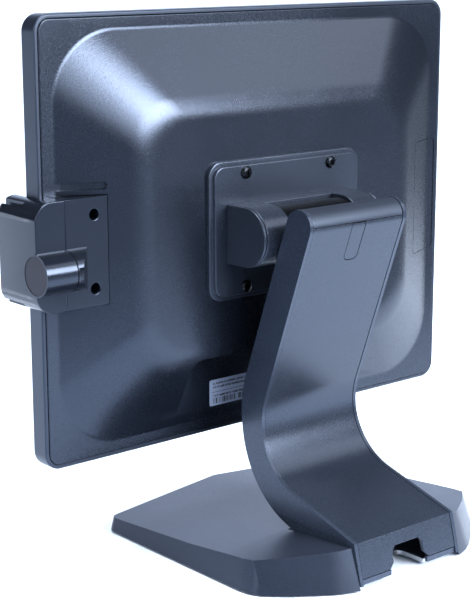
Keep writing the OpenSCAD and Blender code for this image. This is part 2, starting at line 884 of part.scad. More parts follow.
front_bezel();
touch_glass();
glass_gasket();
lcd_panel();
screen_chassis();
mainboard();
heat_sink();
storage_drive();
speakers();
rear_cover();
side_blank();
connector_panel();
connectors();
rating_label();
power_button();
status_light();
adaptor_plate();
adaptor_screws();
hinge_block();
hinge_end_caps();
reader_housing();
reader_bracket();
key_reader_face();
reader_board();
read_head();
reader_screws();
arm_frame();
arm_rear_cover();
latch_tab();
arm_top_cap();
arm_spine();
hinge_knuckle();
hinge_shaft();
friction_washers();
hinge_nuts();
base_cover();
base_plate();
rubber_feet();
base_screws();
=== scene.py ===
"""Looks of the countertop touchscreen terminal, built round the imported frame.
Mesh work is in millimetres and to_object() turns it into metres. The lights' places and sizes
and the floor's fades are given in metres."""
import bpy
import bmesh
import json
import math
from mathutils import Matrix, Vector


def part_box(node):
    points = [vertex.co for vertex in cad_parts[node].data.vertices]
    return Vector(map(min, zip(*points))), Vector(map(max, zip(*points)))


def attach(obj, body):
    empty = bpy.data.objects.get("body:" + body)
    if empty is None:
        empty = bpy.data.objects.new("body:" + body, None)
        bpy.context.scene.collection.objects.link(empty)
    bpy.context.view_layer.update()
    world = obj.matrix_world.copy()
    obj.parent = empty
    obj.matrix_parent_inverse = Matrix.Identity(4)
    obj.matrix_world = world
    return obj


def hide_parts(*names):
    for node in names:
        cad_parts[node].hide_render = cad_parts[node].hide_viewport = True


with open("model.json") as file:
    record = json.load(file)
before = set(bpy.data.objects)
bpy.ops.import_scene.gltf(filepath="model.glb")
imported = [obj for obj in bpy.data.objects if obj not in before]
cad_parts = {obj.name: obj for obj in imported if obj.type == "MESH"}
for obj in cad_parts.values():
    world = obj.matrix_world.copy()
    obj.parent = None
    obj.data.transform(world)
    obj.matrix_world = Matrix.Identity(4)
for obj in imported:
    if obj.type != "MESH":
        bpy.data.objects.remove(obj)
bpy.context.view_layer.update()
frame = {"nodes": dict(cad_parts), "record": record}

MM = 0.001
record = frame["record"]
BODY_OF = {n: body for body, members in record["behaviour"]["bodies"].items() for n in members}


# ---------- frame values ----------

def mm_box(name):
    """Lowest and highest corners of a CAD node, in millimetres."""
    low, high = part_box(name)
    return low / MM, high / MM


HEAD_LOW, HEAD_HIGH = mm_box("front_bezel")
HALF_W = (HEAD_HIGH.x - HEAD_LOW.x) / 2
HALF_H = (HEAD_HIGH.z - HEAD_LOW.z) / 2
HEAD_Z = (HEAD_HIGH.z + HEAD_LOW.z) / 2
FRONT_Y = HEAD_LOW.y
RIM_Y = HEAD_HIGH.y
HEAD_R = 11
BORDER_Y = RIM_Y + 0.5                    # the flat border round the rear cover's dome
DOME_Y = mm_box("adaptor_plate")[0].y     # the plateau that the adaptor plate lies on
CLEAR_Y = DOME_Y + 2                      # where a cutter ends, clear of the dome
POCKET_Y = mm_box("rating_label")[0].y    # the connector pocket's floor, under the label


# ---------- small mesh kit ----------

SHARP_ANGLE = 32        # degrees between faces, above which shading shows an edge
ROUNDING_ANGLE = 38     # degrees between faces, above which a CAD edge gets rounded


def link(obj):
    bpy.context.scene.collection.objects.link(obj)
    return obj


def mark_sharp(mesh, angle=SHARP_ANGLE):
    mesh.set_sharp_from_angle(angle=math.radians(angle))


def to_object(name, bm, sharp_angle=SHARP_ANGLE):
    """Turns mesh work into an object in metres, with smooth faces and true sharp edges."""
    bmesh.ops.remove_doubles(bm, verts=bm.verts, dist=0.0005)
    bmesh.ops.recalc_face_normals(bm, faces=bm.faces)
    bmesh.ops.scale(bm, vec=(MM, MM, MM), verts=bm.verts)
    mesh = bpy.data.meshes.new(name)
    for f in bm.faces:
        f.smooth = True
    bm.to_mesh(mesh)
    bm.free()
    mark_sharp(mesh, sharp_angle)
    return link(bpy.data.objects.new(name, mesh))


def weighted(obj):
    """Flat faces keep flat shading next to their rounded edges."""
    mod = obj.modifiers.new("weighted", "WEIGHTED_NORMAL")
    mod.keep_sharp = True
    mod.weight = 80


def boolean(obj, cutter, operation="DIFFERENCE"):
    """Cuts an object by a cutter, or keeps what both share. The cutter is used up."""
    mod = obj.modifiers.new("cut", "BOOLEAN")
    mod.operation = operation
    mod.solver = "EXACT"
    mod.object = cutter
    graph = bpy.context.evaluated_depsgraph_get()
    mesh = bpy.data.meshes.new_from_object(obj.evaluated_get(graph))
    obj.modifiers.clear()
    old = obj.data
    obj.data = mesh
    bpy.data.meshes.remove(old)
    bpy.data.objects.remove(cutter)


def finish_piece(obj, node, material):
    """Puts a piece on its node's body, in that node's place."""
    obj.data.materials.clear()
    obj.data.materials.append(material)
    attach(obj, BODY_OF[node])
    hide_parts(node)


def rect_ring(hx, hz, r, y, cx=0, cz=HEAD_Z, steps=8):
    """A rounded rectangle of points in the plane at depth y."""
    r = max(min(r, hx, hz), 0.01)
    ring = []
    for k, (sx, sz) in enumerate(((1, 1), (-1, 1), (-1, -1), (1, -1))):
        for i in range(steps + 1):
            a = math.radians(90 * k + 90 * i / steps)
            ring.append(Vector((cx + sx * (hx - r) + r * math.cos(a), y,
                                cz + sz * (hz - r) + r * math.sin(a))))
    return ring


def loft(rings, cyclic=False):
    """Joins rings of equal length by quads. Two faces close the ends, unless it is cyclic."""
    bm = bmesh.new()
    rows = [[bm.verts.new(p) for p in ring] for ring in rings]
    pairs = list(zip(rows, rows[1:])) + ([(rows[-1], rows[0])] if cyclic else [])
    n = len(rows[0])
    for lower, upper in pairs:
        for i in range(n):
            j = (i + 1) % n
            bm.faces.new((lower[i], lower[j], upper[j], upper[i]))
    if not cyclic:
        bm.faces.new(list(reversed(rows[0])))
        bm.faces.new(rows[-1])
    return bm


def add_box(bm, low, high):
    low, high = Vector(low), Vector(high)
    mat = Matrix.Translation((low + high) / 2) @ Matrix.Diagonal((*(high - low), 1))
    bmesh.ops.create_cube(bm, size=1, matrix=mat)


def from_metres(bm, mesh):
    """Takes a mesh in metres into mesh work."""
    bm.from_mesh(mesh)
    bmesh.ops.scale(bm, vec=(1 / MM,) * 3, verts=bm.verts)


def sharp_edges(bm, angle):
    return [e for e in bm.edges
            if len(e.link_faces) == 2 and e.calc_face_angle(0) > math.radians(angle)]


def middle(edge):
    return (edge.verts[0].co + edge.verts[1].co) / 2


def bevel(bm, edges, width, segments, clamp=True):
    bmesh.ops.bevel(bm, geom=edges, offset=width, offset_type="OFFSET", segments=segments,
                    profile=0.5, affect="EDGES", clamp_overlap=clamp, loop_slide=True)


def rounded(name, node, material, width, segments, only=None):
    """A finished piece from a CAD node's own shape, with its sharp edges rounded: the convex
    ones, or those whose middle passes the test given as only."""
    bm = bmesh.new()
    from_metres(bm, frame["nodes"][node].data)
    bmesh.ops.remove_doubles(bm, verts=bm.verts, dist=0.002)
    bmesh.ops.dissolve_limit(bm, angle_limit=math.radians(0.4), verts=bm.verts, edges=bm.edges)
    bm.normal_update()
    edges = [e for e in sharp_edges(bm, ROUNDING_ANGLE)
             if (only(middle(e)) if only else e.is_convex)]
    bevel(bm, edges, width, segments, clamp=only is None)
    obj = to_object(name, bm)
    weighted(obj)
    finish_piece(obj, node, material)


def soften(obj, width, segments, angle, test):
    """Rounds the sharp edges whose middle passes a test, on a finished mesh."""
    bm = bmesh.new()
    bm.from_mesh(obj.data)
    edges = [e for e in sharp_edges(bm, angle) if test(middle(e) / MM)]
    bevel(bm, edges, width * MM, segments)
    for f in bm.faces:
        f.smooth = True
    bm.to_mesh(obj.data)
    bm.free()
    mark_sharp(obj.data)


# ---------- materials ----------

class Tree:
    """Short words for building a material's node tree."""

    def __init__(self, name):
        self.mat = bpy.data.materials.new(name)
        self.mat.use_nodes = True
        self.t = self.mat.node_tree
        self.shader = self.t.nodes["Principled BSDF"]
        self.coords = self.t.nodes.new("ShaderNodeTexCoord").outputs["Object"]

    def put(self, socket, value):
        if isinstance(value, bpy.types.NodeSocket):
            self.t.links.new(value, socket)
        elif isinstance(value, (tuple, list)) and len(value) == 3 and socket.type == "RGBA":
            socket.default_value = (*value, 1)
        else:
            socket.default_value = value

    def node(self, kind, inputs, **settings):
        n = self.t.nodes.new("ShaderNode" + kind)
        for k, v in settings.items():
            setattr(n, k, v)
        for k, v in inputs.items():
            self.put(n.inputs[k], v)
        return n

    def math(self, op, a, b=0.5):
        return self.node("Math", {0: a, 1: b}, operation=op).outputs[0]

    def noise(self, scale, detail=2.0, rough=0.5, vector=None, distortion=0.0):
        inputs = {"Vector": vector or self.coords, "Scale": scale, "Detail": detail,
                  "Roughness": rough, "Distortion": distortion}
        return self.node("TexNoise", inputs).outputs["Fac"]

    def cells(self, scale):
        return self.node("TexVoronoi", {"Vector": self.coords, "Scale": scale}).outputs["Distance"]

    def stretched(self, scale):
        return self.node("Mapping", {"Vector": self.coords, "Scale": scale}).outputs[0]

    def between(self, fac, low, high, from_low=0.0, from_high=1.0, **settings):
        inputs = {"Value": fac, "From Min": from_low, "From Max": from_high,
                  "To Min": low, "To Max": high}
        return self.node("MapRange", inputs, **settings).outputs[0]

    def mix(self, fac, a, b):
        n = self.node("Mix", {"Factor": fac}, data_type="RGBA")
        self.put(n.inputs[6], a)
        self.put(n.inputs[7], b)
        return n.outputs[2]

    def bump(self, height, strength, depth):
        """A bump of that depth in millimetres."""
        n = self.node("Bump", {"Height": height, "Strength": strength, "Distance": depth * MM})
        self.put(self.shader.inputs["Normal"], n.outputs[0])

    def set(self, **values):
        for k, v in values.items():
            self.put(self.shader.inputs[k.replace("_", " ")], v)
        return self.mat


SHEEN_TINT = (0.60, 0.73, 1.0)      # the bluish cast of the plastic's reflections


def shade(color, k):
    return tuple(min(c * k, 1) for c in color)


def plastic(name, color, rough, grain=0.55, relief=0.35, speck=0.10, specular=0.56):
    """Moulded plastic with a spark-eroded texture of that grain size in millimetres.
    relief is the strength of the grain's bump and speck how much the colour varies with it."""
    t = Tree(name)
    fine = t.noise(1 / (grain * MM), detail=3, rough=0.62)
    pits = t.cells(1 / (grain * 0.8 * MM))
    broad = t.noise(14, detail=2)
    tone = t.mix(t.between(broad, 0, 1, 0.35, 0.65), shade(color, 0.93), shade(color, 1.07))
    spots = t.between(fine, 1 - speck, 1 + speck, 0.3, 0.7)
    spotted = t.node("HueSaturation", {"Color": tone, "Value": spots}).outputs[0]
    height = t.math("ADD", t.math("MULTIPLY", fine, 0.7), t.math("MULTIPLY", pits, 0.5))
    t.bump(height, relief, 0.05)
    roughness = t.math("ADD", t.between(fine, rough - 0.05, rough + 0.05, 0.3, 0.7),
                       t.between(broad, -0.03, 0.03, 0.3, 0.7))
    t.set(Base_Color=spotted, Roughness=roughness)
    t.shader.inputs["Specular IOR Level"].default_value = specular
    t.shader.inputs["Specular Tint"].default_value = (*SHEEN_TINT, 1)
    return t.mat


def metal(name, color, rough, brushed=(1, 1, 1), tarnish=0.12):
    """Bare metal with fine brush lines, stretched by the factors in brushed."""
    t = Tree(name)
    lines = t.noise(1800, detail=3, vector=t.stretched(brushed))
    cloud = t.noise(60, detail=3)
    t.bump(lines, 0.12, 0.02)
    base = t.mix(cloud, shade(color, 1 - tarnish), shade(color, 1 + tarnish / 2))
    t.set(Base_Color=base, Roughness=t.between(lines, rough - 0.08, rough + 0.1, 0.3, 0.7))
    t.shader.inputs["Metallic"].default_value = 1.0
    return t.mat


def rubber(name, color):
    t = Tree(name)
    fine = t.noise(2200, detail=4)
    t.bump(fine, 0.3, 0.05)
    t.set(Base_Color=t.mix(t.noise(60), shade(color, 0.8), shade(color, 1.3)),
          Roughness=t.between(fine, 0.7, 0.9))
    return t.mat


def circuit_board(name):
    """Green solder mask with a net of copper tracks under it."""
    t = Tree(name)
    brick = t.node("TexBrick", {"Vector": t.coords, "Scale": 160.0,
                                "Color1": (0.012, 0.075, 0.035), "Color2": (0.016, 0.095, 0.045),
                                "Mortar": (0.03, 0.16, 0.07), "Mortar Size": 0.03,
                                "Mortar Smooth": 0.2})
    blot = t.noise(300, detail=2)
    t.bump(brick.outputs["Fac"], 0.4, 0.06)
    blots = t.between(blot, 0, 0.35, 0.5, 0.7)
    t.set(Base_Color=t.mix(blots, brick.outputs["Color"], (0.05, 0.20, 0.10)),
          Roughness=t.between(blot, 0.3, 0.45))
    return t.mat


def touch_panel(name, half_w=152.0, half_h=114.0):
    """Switched-off touch glass: a black border round a slightly lighter active area."""
    t = Tree(name)
    xyz = t.node("SeparateXYZ", {0: t.coords})
    x = t.math("ABSOLUTE", xyz.outputs[0])
    z = t.math("ABSOLUTE", t.math("SUBTRACT", xyz.outputs[2], HEAD_Z * MM))
    inside = t.math("MULTIPLY", t.math("LESS_THAN", x, half_w * MM),
                    t.math("LESS_THAN", z, half_h * MM))
    smudge = t.noise(22, detail=4, distortion=0.6)
    active = t.mix(smudge, (0.012, 0.013, 0.016), (0.016, 0.018, 0.022))
    t.set(Base_Color=t.mix(inside, (0.004, 0.004, 0.005), active),
          Roughness=t.between(smudge, 0.07, 0.16, 0.3, 0.7))
    t.shader.inputs["Coat Weight"].default_value = 0.3
    t.shader.inputs["Coat Roughness"].default_value = 0.05
    return t.mat


def label_film(name, centre, size):
    """A pale label with generic rows of strokes and a block of bars: no letters.
    In it x runs to the right as one looks at it and z up, in millimetres from its centre."""
    t = Tree(name)
    xyz = t.node("SeparateXYZ", {0: t.coords})
    x = t.math("MULTIPLY", t.math("SUBTRACT", centre[0] * MM, xyz.outputs[0]), 1 / MM)
    z = t.math("MULTIPLY", t.math("SUBTRACT", xyz.outputs[2], centre[1] * MM), 1 / MM)

    def within(v, low, high):
        return t.math("MULTIPLY", t.math("GREATER_THAN", v, low), t.math("LESS_THAN", v, high))

    def patch(z0, z1, x0, x1):
        return t.math("MULTIPLY", within(z, z0, z1), within(x, x0, x1))

    def strokes(pitch, share):
        """That share of the cells of each row, picked at random."""
        cell = t.math("FLOOR", t.math("MULTIPLY", x, 1 / pitch))
        row = t.math("FLOOR", t.math("MULTIPLY", z, 0.5))
        seed = t.node("CombineXYZ", {0: cell, 1: row}).outputs[0]
        value = t.node("TexWhiteNoise", {"Vector": seed}, noise_dimensions="2D").outputs["Value"]
        return t.math("LESS_THAN", value, share)

    left, right = -size[0] / 2, size[0] / 2
    rows = [(5.6, 7.0, left + 3, right - 16), (3.0, 4.4, left + 3, right - 6),
            (-3.0, -1.6, left + 3, right - 24)]
    ink = patch(0.2, 0.6, left + 2, right - 2)
    for row in rows:
        ink = t.math("MAXIMUM", ink, t.math("MULTIPLY", patch(*row), strokes(0.75, 0.78)))
    bar = t.math("FLOOR", t.math("MULTIPLY", x, 1.5))
    dark = t.node("TexWhiteNoise", {"W": bar}, noise_dimensions="1D").outputs["Value"]
    bars = t.math("MULTIPLY", patch(-7.6, -3.8, left + 3, right - 20),
                  t.math("LESS_THAN", dark, 0.5))
    ink = t.math("MAXIMUM", ink, bars)
    grime = t.noise(120, detail=3)
    film = t.mix(grime, (0.25, 0.30, 0.42), (0.30, 0.35, 0.47))
    t.set(Base_Color=t.mix(ink, film, (0.03, 0.035, 0.05)), Roughness=t.between(grime, 0.35, 0.5))
    return t.mat


def lens(name, color):
    t = Tree(name)
    n = t.noise(500, detail=2)
    t.set(Base_Color=t.mix(n, shade(color, 0.85), shade(color, 1.1)),
          Roughness=t.between(n, 0.1, 0.25))
    t.shader.inputs["Coat Weight"].default_value = 0.5
    return t.mat


HEAD_COLOR = (0.0040, 0.0054, 0.0088)
STAND_COLOR = (0.0085, 0.0114, 0.0180)
HINGE_COLOR = (0.0100, 0.0128, 0.0195)
BASE_COLOR = (0.0110, 0.0142, 0.0225)
M = {
    "head": plastic("head_plastic", HEAD_COLOR, rough=0.25, grain=0.9, relief=0.9),
    "head_side": plastic("bezel_plastic", shade(HEAD_COLOR, 1.7), rough=0.38),
    "stand": plastic("stand_plastic", STAND_COLOR, rough=0.25, grain=0.8, relief=0.6),
    # the arm frame's side walls take the stand colour made 1.6 times lighter: painted light that
    # stands in for the light falling on the arm's sides
    "frame": plastic("frame_plastic_painted_lighter", shade(STAND_COLOR, 1.6), rough=0.25, grain=0.45),
    "cap": plastic("cap_plastic", shade(STAND_COLOR, 0.9), rough=0.40, grain=1.3, relief=1.1,
                   speck=0.2),
    "base": plastic("base_plastic", BASE_COLOR, rough=0.33, grain=1.0, relief=0.8, speck=0.16,
                    specular=0.32),
    "hinge": plastic("hinge_plastic", HINGE_COLOR, rough=0.30, grain=0.9, relief=0.6, speck=0.16),
    "reader": plastic("reader_plastic", HEAD_COLOR, rough=0.17, grain=0.5, specular=0.45),
    "dark": plastic("dark_plastic", (0.012, 0.013, 0.016), rough=0.5),
    "black_steel": metal("black_steel", (0.014, 0.016, 0.020), rough=0.3, tarnish=0.25),
    "steel": metal("steel", (0.55, 0.56, 0.58), rough=0.28, brushed=(1, 12, 12)),
    "zinc": metal("zinc_steel", (0.42, 0.43, 0.45), rough=0.36, tarnish=0.2),
    "plate": metal("base_plate_steel", (0.50, 0.52, 0.55), rough=0.30, brushed=(1, 10, 10),
                   tarnish=0.16),
    "alu": metal("alu", (0.62, 0.63, 0.65), rough=0.34, brushed=(12, 1, 1)),
    "connector": metal("connector_metal", (0.58, 0.59, 0.60), rough=0.22),
    "board": circuit_board("board_green"),
    "rubber": rubber("foot_rubber", (0.015, 0.015, 0.017)),
    "foam": rubber("gasket_foam", (0.02, 0.02, 0.022)),
    "glass": touch_panel("glass_front"),
    "disc": plastic("reader_face", (0.022, 0.021, 0.026), rough=0.5, grain=0.35, relief=0.2,
                    specular=0.2),
    "light": lens("light_lens", (0.30, 0.62, 0.40)),
}


# ---------- head: bezel ----------

# Openings in the bezel's lower wall, from corner to corner as (x, y)
BUTTON_HOLE = ((-156.4, -54.9), (-143.6, -49.1))
LIGHT_HOLE, LIGHT_HOLE_R = (-130, -52), 1.6
SPEAKER_X, SLITS, SLIT_PITCH = 103, 7, 4.5
SLIT_HALF_W, SLIT_FRONT, SLIT_BACK = 0.9, -55.2, -49.5


def circle_point(degrees):
    """Cosine and sine of an angle."""
    return math.cos(math.radians(degrees)), math.sin(math.radians(degrees))


def bezel():
    """Side walls and front lip as one swept section of (distance in from the side, y), with
    rolled outer edges and the openings in the lower wall."""
    front_r, rear_r, lip_r = 2.6, 1.1, 0.5
    wall, ledge_in = 2.8, 21.5
    ledge_front = mm_box("glass_gasket")[1].y
    ledge_back = ledge_front + 1.5
    section = [(rear_r - rear_r * c, RIM_Y - rear_r + rear_r * s)
               for c, s in map(circle_point, (0, 22, 45, 68, 90))]
    section += [(wall - 0.4, RIM_Y), (wall, RIM_Y - 0.4), (wall, ledge_back),
                (ledge_in, ledge_back), (ledge_in, ledge_front), (wall, ledge_front),
                (wall, FRONT_Y + lip_r), (wall - lip_r * 0.3, FRONT_Y + lip_r * 0.3),
                (wall - lip_r, FRONT_Y)]
    section += [(front_r - front_r * s, FRONT_Y + front_r - front_r * c)
                for c, s in map(circle_point, (20, 40, 60, 75, 90))]
    rings = [rect_ring(HALF_W - i, HALF_H - i, max(HEAD_R - i, 1.2), y, steps=10)
             for i, y in section]
    shell = to_object("bezel_shell", loft(rings, cyclic=True))

    cut = bmesh.new()
    low, high = HEAD_LOW.z - 1, HEAD_LOW.z + 4
    add_box(cut, (*BUTTON_HOLE[0], low), (*BUTTON_HOLE[1], high))
    for side in (-1, 1):
        for i in range(SLITS):
            x = side * SPEAKER_X + (i - SLITS // 2) * SLIT_PITCH
            add_box(cut, (x - SLIT_HALF_W, SLIT_FRONT, low), (x + SLIT_HALF_W, SLIT_BACK, high))
    bmesh.ops.create_cone(cut, cap_ends=True, segments=24, radius1=LIGHT_HOLE_R,
                          radius2=LIGHT_HOLE_R, depth=8,
                          matrix=Matrix.Translation((*LIGHT_HOLE, HEAD_LOW.z)))
    boolean(shell, to_object("bezel_cuts", cut))
    mark_sharp(shell.data)
    weighted(shell)
    finish_piece(shell, "front_bezel", M["head_side"])


# ---------- head: rear cover ----------

FOOT_HALF = (166.0, 131.0)          # the dome's foot on the border, half width and half height
TOP_STEP = (50.5, 50.0)             # how far in from the foot the plateau's rim lies
FOOT_R, R_STEP = 45.0, 14.0         # the foot's corner radius, and how much less it is at the top
FOOT_EASE, TOP_EASE = 0.025, 0.17   # shares of the slope that are rounded at foot and shoulder

BAY_IN, BAY_OUT = 136.4, 171.0      # the reader's bay, from its inner end outwards
BAY_LOW, BAY_TOP, BAY_FLOOR = HEAD_Z - 37, HEAD_Z + 32.4, BORDER_Y - 0.3
RECESS_LOW, RECESS_TOP, RECESS_DEPTH = HEAD_Z + 35.2, HEAD_Z + 40.1, 1.6
BLANK_BAY = (-138.0, -172.4, HEAD_Z - 41.3, HEAD_Z + 41.3, BORDER_Y - 0.4)
POCKET_HALF, POCKET_TOP, POCKET_LOW, POCKET_R = 77.0, HEAD_Z - 83, HEAD_LOW.z + 1, 9
PORT_WINDOW = ((-72, -39.9), (72, -26.4))   # in the pocket's upper wall, as (x, y)
FINGER_SLOT = ((-171.3, HEAD_Z - 10), (-169.7, HEAD_Z + 11))    # in the lid, as (x, z)


def dome_height(p):
    """Height over the border at a share p of the slope, eased at both ends."""
    rise = DOME_Y - BORDER_Y
    if p < FOOT_EASE:
        return rise * (p + FOOT_EASE) ** 2 / (4 * FOOT_EASE)
    if p > 1 - TOP_EASE:
        return rise * (1 - (1 + TOP_EASE - p) ** 2 / (4 * TOP_EASE))
    return rise * p


def dome_rings(inset, low=-FOOT_EASE):
    """The dome's slope as rings, from the share low up, and that far inside its surface."""
    high = 1 + TOP_EASE
    shares = [low + (FOOT_EASE - low) * i / 8 for i in range(9)]
    shares += [0.32, 0.5, 0.68]
    shares += [1 - TOP_EASE + (high - 1 + TOP_EASE) * i / 9 for i in range(10)]
    return [rect_ring(FOOT_HALF[0] - TOP_STEP[0] * p - inset,
                      FOOT_HALF[1] - TOP_STEP[1] * p - inset,
                      FOOT_R - R_STEP * p - inset, BORDER_Y + dome_height(p) - inset, steps=14)
            for p in shares]


def side_bay(grow, x_in, x_out, z0, z1, floor_y, corner=3.5):
    """A cutter for a bay with round corners, larger on every side by grow."""
    cx, hx = (x_in + x_out) / 2, abs(x_out - x_in) / 2 + grow
    cz, hz = (z0 + z1) / 2, (z1 - z0) / 2 + grow
    return loft([rect_ring(hx, hz, corner + grow, y, cx, cz, steps=6)
                 for y in (floor_y - grow, CLEAR_Y)])


def reader_bay(grow):
    """Cutters for the square room the reader sits in, and the shallow recess above it."""
    room = bmesh.new()
    add_box(room, (BAY_IN - grow, BAY_FLOOR - grow, BAY_LOW - grow),
            (BAY_OUT + grow, CLEAR_Y, BAY_TOP + grow))
    recess = to_object("recess", side_bay(grow, BAY_IN, BAY_OUT, RECESS_LOW, RECESS_TOP,
                                          BAY_FLOOR, corner=2.3))
    boolean(recess, to_object("recess_floor", loft(dome_rings(RECESS_DEPTH + grow))))
    return to_object("reader_room", room), recess


def pocket_form(grow):
    """A cutter for the connector pocket."""
    cz, hz = (POCKET_LOW + POCKET_TOP) / 2, (POCKET_TOP - POCKET_LOW) / 2 + grow
    return loft([rect_ring(POCKET_HALF + grow, hz, POCKET_R + grow, y, 0, cz, steps=8)
                 for y in (POCKET_Y - grow, CLEAR_Y)])


def on_recess(c):
    """True on the rim of the shallow recess."""
    return (BAY_IN - 1 < c.x < BAY_OUT + 1 and RECESS_LOW - 1 < c.z < RECESS_TOP + 1
            and c.y > BORDER_Y + 0.5)


def rear_cover():
    """The domed shell with a rolled rim, hollow inside but for the walls of its bays."""
    edge_r, back_y, skin, foot_share = 0.7, BORDER_Y - 2.7, 2.5, 0.03
    bay_wall, blank_wall, pocket_wall = 1.2, 1.4, 1.8
    half_w, half_h, corner_r = HALF_W - 3.0, HALF_H - 3.0, 8
    rings = [rect_ring(half_w, half_h, corner_r, y, steps=14)
             for y in (back_y, BORDER_Y - edge_r)]
    for c, s in map(circle_point, (30, 60, 90)):
        k = edge_r * (1 - c)
        rings.append(rect_ring(half_w - k, half_h - k, corner_r - k,
                               BORDER_Y - edge_r + edge_r * s, steps=14))
    shell = to_object("rear_cover_shell", loft(rings + dome_rings(0)))

    inner = dome_rings(skin, low=foot_share)
    deep = [Vector((v.x, back_y - 2, v.z)) for v in inner[0]]
    hollow = to_object("hollow", loft([deep] + inner))
    for room in reader_bay(bay_wall):
        boolean(hollow, room)
    boolean(hollow, to_object("blank_room", side_bay(blank_wall, *BLANK_BAY)))
    boolean(hollow, to_object("pocket_room", pocket_form(pocket_wall)))
    boolean(shell, hollow)

    for room in reader_bay(0):
        boolean(shell, room)
    boolean(shell, to_object("blank_cut", side_bay(0, *BLANK_BAY)))
    boolean(shell, to_object("pocket_cut", pocket_form(0)))
    window = bmesh.new()
    add_box(window, (*PORT_WINDOW[0], POCKET_TOP - 1), (*PORT_WINDOW[1], POCKET_TOP + 3))
    boolean(shell, to_object("window_cut", window))
    mark_sharp(shell.data)
    soften(shell, 0.4, segments=2, angle=40, test=on_recess)
    weighted(shell)
    finish_piece(shell, "rear_cover", M["head"])


def side_blank():
    """The lid of the unused bay: the same outer form, parted by a thin seam."""
    gap, skin, foot_share = 0.45, 2.2, 0.1
    lid = to_object("side_blank_lid", loft(dome_rings(0)))
    boolean(lid, to_object("lid_form", side_bay(-gap, *BLANK_BAY)), "INTERSECT")
    boolean(lid, to_object("lid_inner", loft(dome_rings(skin, low=foot_share))))
    slot = bmesh.new()
    (x0, z0), (x1, z1) = FINGER_SLOT
    add_box(slot, (x0, BORDER_Y - 1, z0), (x1, DOME_Y, z1))
    boolean(lid, to_object("finger_slot", slot))
    mark_sharp(lid.data)
    weighted(lid)
    finish_piece(lid, "side_blank", M["head"])


def rating_label():
    """A film with a thin bevelled rim, in the pocket."""
    low, high = mm_box("rating_label")
    centre = ((low.x + high.x) / 2, (low.z + high.z) / 2)
    size = (high.x - low.x, high.z - low.z)
    rings = [rect_ring(size[0] / 2 - k, size[1] / 2 - k, 1.5 - k, y, centre[0], centre[1])
             for k, y in ((0, low.y), (0, high.y - 0.05), (0.05, high.y))]
    obj = to_object("rating_label_film", loft(rings))
    finish_piece(obj, "rating_label", label_film("label_film", centre, size))


# ---------- adaptor plate ----------

def adaptor_plate():
    """The plate's own outline, with a lower rim and a raised middle."""
    low, high = mm_box("adaptor_plate")
    cx, cz = (low.x + high.x) / 2, (low.z + high.z) / 2
    hx, hz = (high.x - low.x) / 2, (high.z - low.z) / 2
    step_y, corner_r = high.y - 2.4, 10
    section = [(0, low.y), (0, step_y - 0.8), (0.25, step_y - 0.25), (0.8, step_y),
               (2.7, step_y), (3.0, step_y + 0.3), (3.1, high.y - 0.9), (3.35, high.y - 0.3),
               (4.0, high.y)]
    rings = [rect_ring(hx - k, hz - k, corner_r - k * 0.8, y, cx, cz, steps=10)
             for k, y in section]
    obj = to_object("adaptor_plate_body", loft(rings))
    weighted(obj)
    finish_piece(obj, "adaptor_plate", M["hinge"])


# ---------- screws ----------

def cross_head(head_r, height, recess, shank_r, shank):
    """One domed screw with a cross recess, its head standing on y = 0 and facing +Y."""
    profile = [(shank_r, -shank), (shank_r, 0), (head_r, 0), (head_r, height * 0.3),
               (head_r * 0.94, height * 0.62), (head_r * 0.78, height * 0.86),
               (head_r * 0.5, height * 0.97), (0.2, height)]
    n = 32
    around = [2 * math.pi * i / n for i in range(n)]
    rings = [[Vector((r * math.cos(a), y, r * math.sin(a))) for a in around] for r, y in profile]
    obj = to_object("screw", loft(rings))
    narrow = recess * 0.22
    for half_x, half_z in ((narrow, recess), (recess, narrow)):
        rings = [[Vector((sx * half_x * k, y, sz * half_z * k))
                  for sx, sz in ((1, 1), (-1, 1), (-1, -1), (1, -1))]
                 for k, y in ((0.55, height * 0.1), (1.08, height + 0.3))]
        boolean(obj, to_object("recess", loft(rings)))
    return obj


def screw_set(name, node, proto, spots):
    """One piece of equal screws, each turned to an angle of its own. The pattern is used up."""
    bm = bmesh.new()
    for x, y, z in spots:
        part = bmesh.new()
        from_metres(part, proto.data)
        turn = Matrix.Rotation(0.3 + 0.9 * x * z, 3, "Y")
        bmesh.ops.rotate(part, matrix=turn, verts=part.verts)
        bmesh.ops.translate(part, vec=(x, y, z), verts=part.verts)
        temp = bpy.data.meshes.new("temp")
        part.to_mesh(temp)
        part.free()
        bm.from_mesh(temp)
        bpy.data.meshes.remove(temp)
    bpy.data.objects.remove(proto)
    finish_piece(to_object(name, bm, sharp_angle=40), node, M["black_steel"])


def adaptor_screws():
    """Four screws on the standard 75 mm square."""
    low, high = mm_box("adaptor_screws")
    half, z = 75.0 / 2, (low.z + high.z) / 2
    plate_top = mm_box("adaptor_plate")[1].y
    screw_set("adaptor_screw_set", "adaptor_screws", cross_head(4.1, 2.2, 2.3, 1.6, 8),
              [(sx * half, plate_top, z + sz * half) for sx in (-1, 1) for sz in (-1, 1)])


def reader_screws():
    """Two screws, one over the other."""
    low, high = mm_box("reader_screws")
    screw_set("reader_screw_set", "reader_screws", cross_head(3.0, 1.9, 1.8, 1.4, 4.5),
              [((low.x + high.x) / 2, high.y - 2.0, z) for z in (low.z + 3, high.z - 3)])


# ---------- build ----------

READER_SPLIT, READER_BACK = 168.9, -30.5    # the seam between its two parts, and its back face
BARREL_X, BARREL_Z, BARREL_R = 153, HEAD_Z - 11.5, 13.0


def reader_rim(c):
    """True on the long edges round the reader's back and along the seam between its two parts,
    but not where the barrel starts."""
    seam = abs(c.x - READER_SPLIT) < 0.2 and (c.y < READER_BACK + 1 or c.x > READER_SPLIT)
    back = abs(c.y - READER_BACK) < 0.45
    barrel_root = (c.x > BARREL_X and abs(c.z - BARREL_Z) < BARREL_R + 0.3
                   and c.y <= READER_BACK + 1)
    return (seam or back) and not barrel_root


